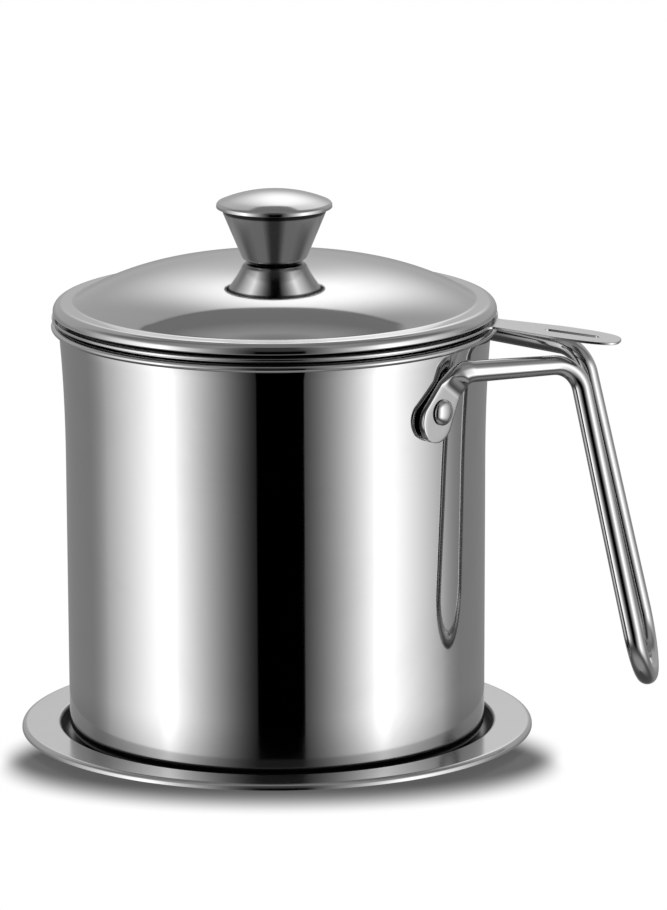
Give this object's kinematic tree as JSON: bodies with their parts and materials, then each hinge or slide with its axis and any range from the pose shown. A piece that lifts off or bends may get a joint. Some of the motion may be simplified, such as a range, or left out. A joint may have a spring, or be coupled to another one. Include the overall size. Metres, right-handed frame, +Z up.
{
  "type": "bacon grease container",
  "caption": "Round steel grease pot with a bent-rod side handle, standing in a shallow drip tray, with a lift-out mesh strainer cup that has a thumb tab, and a domed lid with a knob.",
  "frame": {"origin": "on the pot's axis, at the underside of the drip tray", "axes": "+Z up along the pot's axis, +X from the axis towards the handle, +Y to the left of the handle"},
  "size_m": [0.1832, 0.1468, 0.1593],
  "materials": {
    "polished_steel": "mirror-polished stainless steel",
    "satin_steel": "satin stainless steel",
    "knob_steel": null,
    "mesh_steel": "woven stainless wire mesh"
  },
  "bodies": {
    "tray_body": {"drip_tray": "satin_steel"},
    "pot": {"pot_body": "polished_steel", "handle_bar": "polished_steel", "handle_rivet_left": "polished_steel", "handle_rivet_right": "polished_steel"},
    "strainer": {"strainer_rim": "satin_steel", "strainer_cup": "satin_steel", "strainer_mesh": "mesh_steel", "mesh_retaining_ring": "satin_steel"},
    "lid_with_knob": {"lid": "polished_steel", "lid_seat_ring": "satin_steel", "knob_bowl": "knob_steel", "knob_top": "polished_steel", "knob_stem": "satin_steel", "screw_washer": "satin_steel", "lid_screw": "satin_steel"}
  },
  "joints": [
    {"name": "pot_lift", "type": "slide", "parent": "tray_body", "child": "pot", "axis": [0, 0, 1], "range_m": [0, 0.02]},
    {"name": "strainer_lift", "type": "slide", "parent": "pot", "child": "strainer", "axis": [0, 0, 1], "range_m": [0, 0.05]},
    {"name": "lid_lift", "type": "slide", "parent": "strainer", "child": "lid_with_knob", "axis": [0, 0, 1], "range_m": [0, 0.04]}
  ]
}
